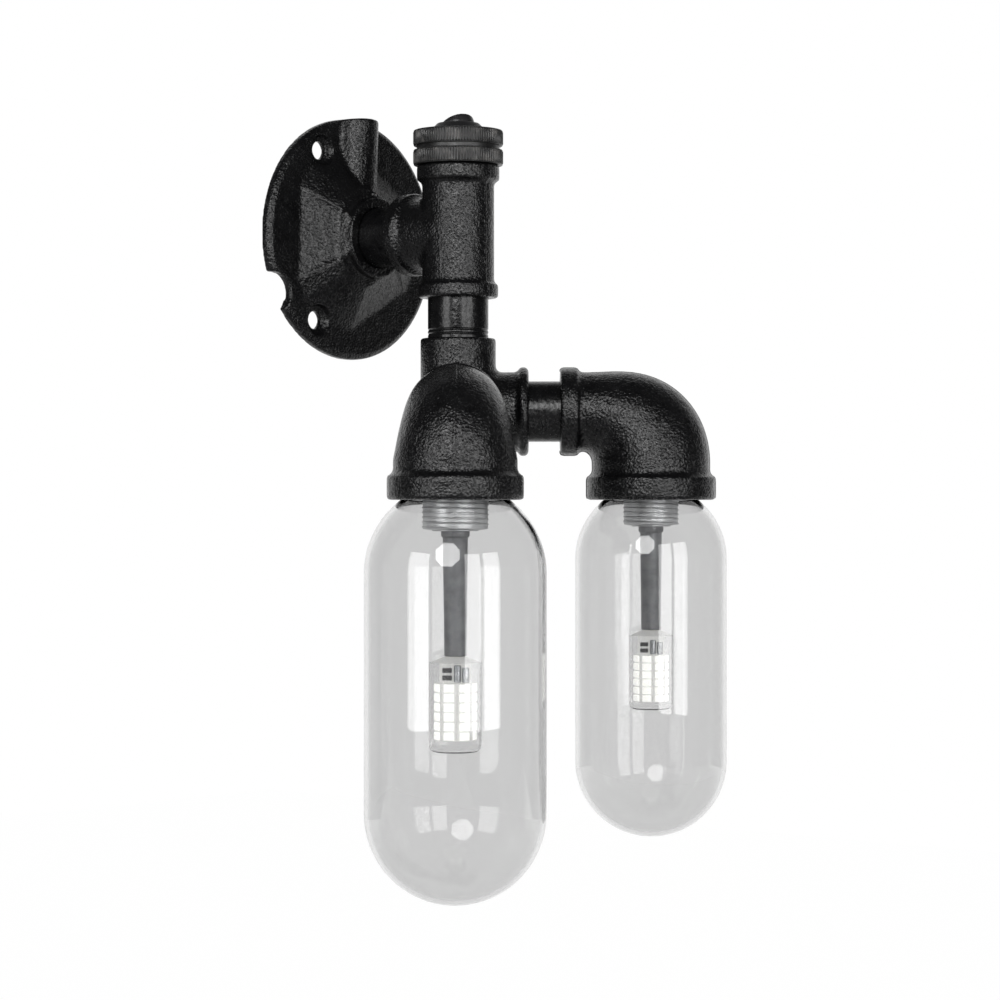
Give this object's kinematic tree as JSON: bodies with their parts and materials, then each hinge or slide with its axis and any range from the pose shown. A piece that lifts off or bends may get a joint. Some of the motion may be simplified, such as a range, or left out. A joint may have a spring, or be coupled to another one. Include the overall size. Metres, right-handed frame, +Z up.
{
  "type": "pipe wall light",
  "caption": "Wall light built from cast pipe fittings: round wall flange, tee with rocker switch, corner fitting and reducing elbows over capsule glass shades with LED lamps.",
  "frame": {"origin": "centre of the wall flange's back face, on the wall", "axes": "+Y into the wall, -Y into the room, +X right seen from the room, +Z up"},
  "size_m": [0.1927, 0.1674, 0.3428],
  "materials": {
    "black_casting": "semi-gloss black paint on as-cast iron",
    "black_pipe": "semi-gloss black paint on steel pipe",
    "black_knurled_ring": "black paint on a turned and knurled ring",
    "switch_body": "moulded black plastic",
    "switch_button": "moulded black plastic",
    "brass": "stamped",
    "zinc_steel": "zinc plated",
    "holder_metal": "grey metal, turned thread",
    "stem_metal": "grey lacquered tube",
    "ceramic": "fired ceramic",
    "lead_insulation": "heat-proof sleeve",
    "silicone": "translucent silicone",
    "clear_glass": "clear blown glass",
    "lamp_plastic": "moulded",
    "lamp_board": "white circuit board",
    "led_phosphor": "phosphor under clear resin",
    "clear_cover": "clear polycarbonate",
    "live_insulation": "brown wire insulation",
    "neutral_insulation": "blue wire insulation",
    "earth_insulation": "green and yellow wire insulation"
  },
  "bodies": {
    "frame": {"wall_flange": "black_casting", "earth_screw": "zinc_steel", "earth_lug": "zinc_steel", "flange_nipple": "black_pipe", "switch_tee": "black_casting", "switch_plug": "black_knurled_ring", "switch_cap": "black_knurled_ring", "switch_housing": "switch_body", "switch_terminal_line": "brass", "switch_terminal_load": "brass", "wire_receptacles": "zinc_steel", "column_nipple": "black_pipe", "corner_fitting": "black_casting", "wire_line": "live_insulation", "wire_earth": "earth_insulation", "arm_nipple_front": "black_pipe", "elbow_front": "black_casting", "holder_plug_front": "holder_metal", "holder_stud_front": "zinc_steel", "stud_nuts_front": "zinc_steel", "holder_cap_front": "holder_metal", "lampholder_front": "holder_metal", "lamp_stem_front": "stem_metal", "stem_nut_front": "zinc_steel", "stem_socket_front": "ceramic", "stem_leads_front": "lead_insulation", "wire_load_front": "live_insulation", "wire_neutral_front": "neutral_insulation", "arm_nipple_right": "black_pipe", "elbow_right": "black_casting", "holder_plug_right": "holder_metal", "holder_stud_right": "zinc_steel", "stud_nuts_right": "zinc_steel", "holder_cap_right": "holder_metal", "lampholder_right": "holder_metal", "lamp_stem_right": "stem_metal", "stem_nut_right": "zinc_steel", "stem_socket_right": "ceramic", "stem_leads_right": "lead_insulation", "wire_load_right": "live_insulation", "wire_neutral_right": "neutral_insulation"},
    "rocker": {"switch_rocker": "switch_button", "switch_plunger": "zinc_steel", "switch_spring": "zinc_steel"},
    "contact_bar": {"switch_contact_bar": "brass"},
    "shade_front": {"shade_ring_front": "holder_metal", "shade_gasket_front": "silicone", "glass_shade_front": "clear_glass"},
    "led_front": {"led_cap_front": "lamp_plastic", "led_board_front": "lamp_board", "led_chips_front": "led_phosphor", "led_cover_front": "clear_cover"},
    "shade_right": {"shade_ring_right": "holder_metal", "shade_gasket_right": "silicone", "glass_shade_right": "clear_glass"},
    "led_right": {"led_cap_right": "lamp_plastic", "led_board_right": "lamp_board", "led_chips_right": "led_phosphor", "led_cover_right": "clear_cover"}
  },
  "joints": [
    {"name": "rocker_tip", "type": "hinge", "parent": "frame", "child": "rocker", "pos_m": [0, -0.0685, 0.044], "axis": [0.9426, -0.3338, 0], "range_deg": [0, 25]},
    {"name": "contact_tip", "type": "hinge", "parent": "frame", "child": "contact_bar", "pos_m": [0, -0.0685, 0.03385], "axis": [0.9426, -0.3338, 0], "range_deg": [-10, 0]},
    {"name": "shade_front_drop", "type": "slide", "parent": "frame", "child": "shade_front", "axis": [0, 0, -1], "range_m": [0, 0.112]},
    {"name": "led_front_pull", "type": "slide", "parent": "frame", "child": "led_front", "axis": [0, 0, -1], "range_m": [0, 0.0095]},
    {"name": "shade_right_drop", "type": "slide", "parent": "frame", "child": "shade_right", "axis": [0, 0, -1], "range_m": [0, 0.1]},
    {"name": "led_right_pull", "type": "slide", "parent": "frame", "child": "led_right", "axis": [0, 0, -1], "range_m": [0, 0.0095]}
  ],
  "couplings": [
    {"joint": "contact_tip", "follows": "rocker_tip", "ratio": -0.4}
  ]
}
